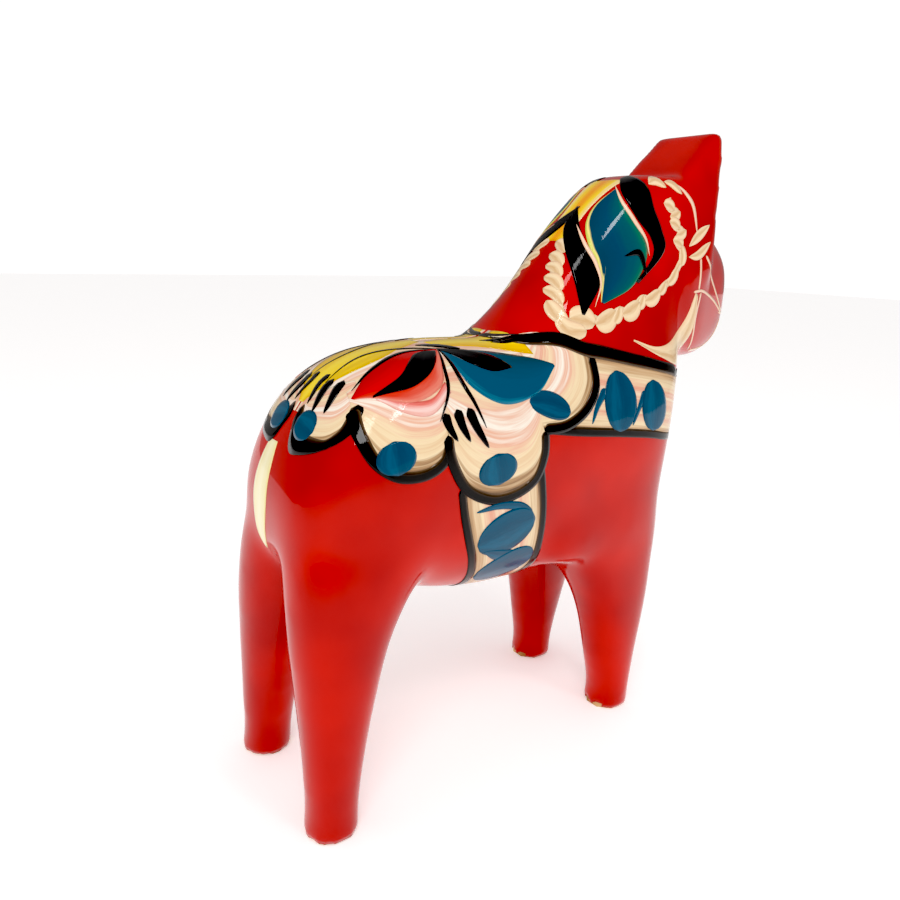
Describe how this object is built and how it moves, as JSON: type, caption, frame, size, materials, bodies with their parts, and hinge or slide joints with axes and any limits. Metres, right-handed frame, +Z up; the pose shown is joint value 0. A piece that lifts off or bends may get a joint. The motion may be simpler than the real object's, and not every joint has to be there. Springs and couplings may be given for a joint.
{
  "type": "dala horse",
  "caption": "Carved and painted wooden horse with a stocky body, short straight legs, and a flowered saddle, girth, breast band, mane and bridle painted on.",
  "frame": {"origin": "on the floor under the middle of the whole length and width", "axes": "+X runs to the nose, +Y to the left side of the horse, +Z up"},
  "size_m": [0.1684, 0.0555, 0.1803],
  "materials": {
    "pine": "bare slow-grown pine",
    "red_enamel": "orange-red paint under glossy varnish",
    "cream_paint": "cream and pink brushed together, varnished",
    "black_paint": "soft-edged black paint, varnished",
    "blue_paint": "deep petrol blue paint, varnished",
    "yellow_paint": "yellow and white brushed together, varnished",
    "petal_red_paint": "bright red paint, varnished",
    "pink_paint": "pink paint, varnished",
    "ivory_paint": "cream paint, varnished",
    "white_paint": "warm white paint, varnished"
  },
  "bodies": {
    "root": {"blue_petal_shade": "black_paint", "blue_petals": "blue_paint", "breast_border": "black_paint", "breast_ground": "cream_paint", "breast_scroll": "blue_paint", "bridle_leaves": "ivory_paint", "bridle_straps": "ivory_paint", "flower_stamens": "black_paint", "flower_veins": "black_paint", "forelock": "ivory_paint", "girth_border": "black_paint", "girth_ground": "cream_paint", "girth_scroll": "blue_paint", "mane_blue_petal": "blue_paint", "mane_crest": "yellow_paint", "mane_dark_leaf": "black_paint", "mane_dark_stroke": "black_paint", "mane_garland": "ivory_paint", "mane_light_line": "white_paint", "neck_line": "black_paint", "noseband": "ivory_paint", "pine_body": "pine", "pink_highlights": "pink_paint", "red_coat": "red_enamel", "red_petal_shade": "black_paint", "red_petals": "petal_red_paint", "reins": "ivory_paint", "rump_dots": "blue_paint", "saddle_border": "black_paint", "saddle_dots": "blue_paint", "saddle_ground": "cream_paint", "tail_stripe": "white_paint", "yellow_leaf": "yellow_paint", "yellow_petals": "yellow_paint"}
  },
  "joints": []
}
